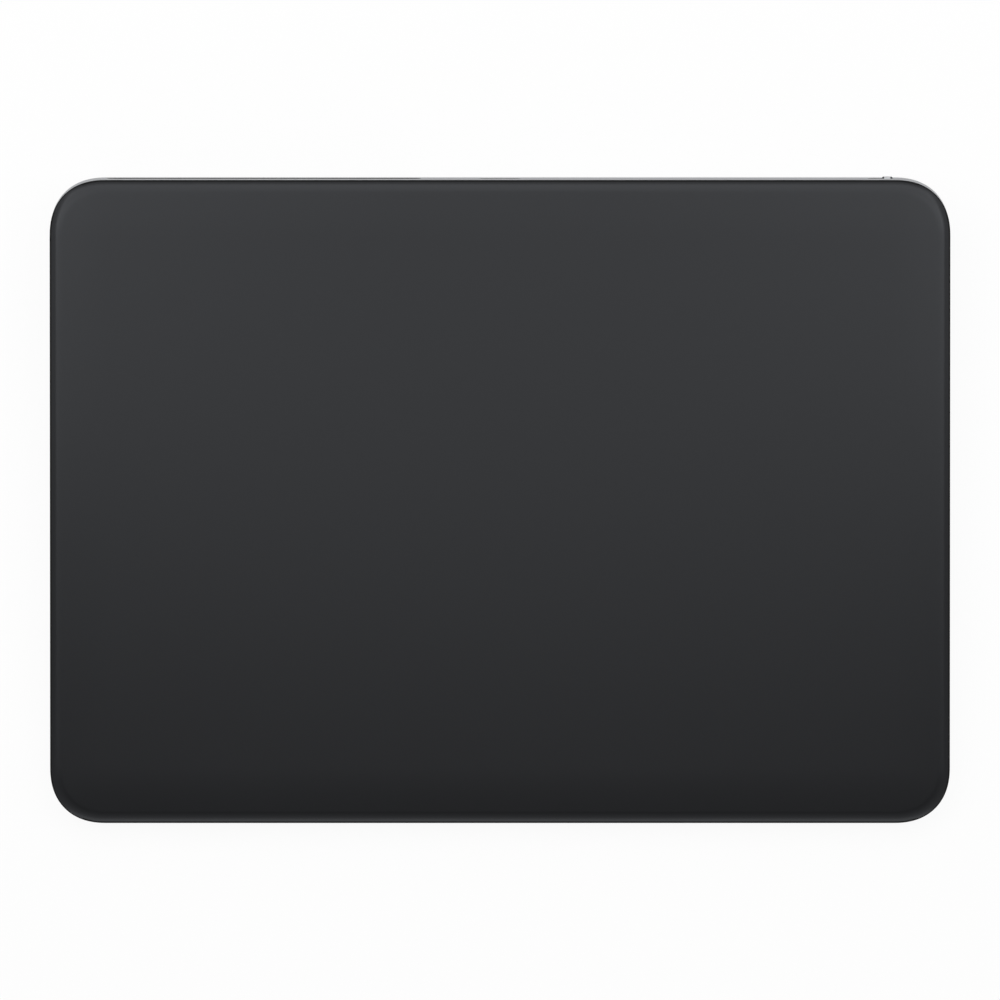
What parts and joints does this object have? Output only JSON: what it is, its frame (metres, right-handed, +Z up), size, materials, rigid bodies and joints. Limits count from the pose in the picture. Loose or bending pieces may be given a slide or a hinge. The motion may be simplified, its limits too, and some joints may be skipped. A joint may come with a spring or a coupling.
{
  "type": "trackpad",
  "caption": "Wireless desk trackpad: a wedge-shaped aluminium tub with a floating black glass touch plate, rear charge port, antenna window and power slide switch.",
  "frame": {"origin": "on the desk plane under the middle of the pad", "axes": "+X to the user's right along the width, +Y away from the user to the rear wall, +Z up"},
  "size_m": [0.16, 0.115, 0.0108],
  "materials": {
    "anodised_aluminium": "bead-blasted, clear anodised, satin silver",
    "cover_glass": "matte etched cover glass with a black back print",
    "charcoal_plastic": "moulded polycarbonate, fine matte texture",
    "foot_rubber": "matte silicone rubber",
    "sheet_steel": "bare stamped and turned steel",
    "port_steel": "drawn stainless steel shell",
    "nickel_plate": "nickel-plated sheet",
    "gold_plate": "gold-plated copper alloy",
    "copper": "enamelled copper wire and copper sheet",
    "black_board": "glass-fibre board, black solder mask",
    "green_board": "glass-fibre board, green solder mask",
    "chip_epoxy": "moulded epoxy package",
    "cable_film": "amber polyimide film",
    "cell_pouch": "laminated pouch foil",
    "adhesive": "double-sided adhesive sheet",
    "gel": "soft silicone gel",
    "on_mark": "green printed mark"
  },
  "bodies": {
    "base": {"enclosure": "anodised_aluminium", "bottom_skin": "charcoal_plastic", "antenna_window": "charcoal_plastic", "switch_housing": "charcoal_plastic", "battery_socket": "charcoal_plastic", "touch_socket": "charcoal_plastic", "haptic_socket": "charcoal_plastic", "port_insert": "charcoal_plastic", "foot_front_left": "foot_rubber", "foot_front_right": "foot_rubber", "foot_rear_left": "foot_rubber", "foot_rear_right": "foot_rubber", "haptic_bracket": "sheet_steel", "haptic_core": "sheet_steel", "board_screws": "sheet_steel", "strap_screws": "sheet_steel", "haptic_screws": "sheet_steel", "flexure_screws": "sheet_steel", "flexure_nuts": "sheet_steel", "port_shell": "port_steel", "radio_shield": "nickel_plate", "port_strap": "nickel_plate", "cell_tabs": "nickel_plate", "board_passives": "nickel_plate", "flexure_front_left": "nickel_plate", "flexure_front_right": "nickel_plate", "flexure_rear_left": "nickel_plate", "flexure_rear_right": "nickel_plate", "port_contacts": "gold_plate", "haptic_coil": "copper", "antenna_strip": "copper", "main_board": "black_board", "battery_board": "green_board", "processor_chip": "chip_epoxy", "radio_chip": "chip_epoxy", "charger_chip": "chip_epoxy", "force_chip": "chip_epoxy", "power_inductor": "chip_epoxy", "battery_cable": "cable_film", "haptic_cable": "cable_film", "touch_cable": "cable_film", "gauge_cable_left": "cable_film", "gauge_cable_right": "cable_film", "strain_gauges": "cable_film", "battery_left": "cell_pouch", "battery_right": "cell_pouch", "skin_bond": "adhesive", "battery_pads": "adhesive"},
    "spring_ends": {"isolator_buttons": "sheet_steel", "gel_pads": "gel"},
    "touch_module": {"cover_glass": "cover_glass", "glass_bond": "adhesive", "touch_sensor_board": "green_board", "touch_chip": "chip_epoxy", "stiffener_plate": "sheet_steel", "attraction_plate": "sheet_steel"},
    "power_slider": {"power_knob": "anodised_aluminium", "on_mark": "on_mark"}
  },
  "joints": [
    {"name": "plate_press", "type": "slide", "parent": "base", "child": "spring_ends", "axis": [0, 0.0524, -0.9986], "range_m": [0, 0.00025], "stiffness_N_per_m": 20000, "springref_m": -0.0001, "deforming": ["flexure_front_left", "flexure_front_right", "flexure_rear_left", "flexure_rear_right", "touch_cable"]},
    {"name": "haptic_shift", "type": "slide", "parent": "spring_ends", "child": "touch_module", "axis": [1, 0, 0], "range_m": [-0.00015, 0.00015], "stiffness_N_per_m": 20000, "deforming": ["gel_pads", "touch_cable"]},
    {"name": "power_slide", "type": "slide", "parent": "base", "child": "power_slider", "axis": [-1, 0, 0], "range_m": [0, 0.0025]}
  ]
}
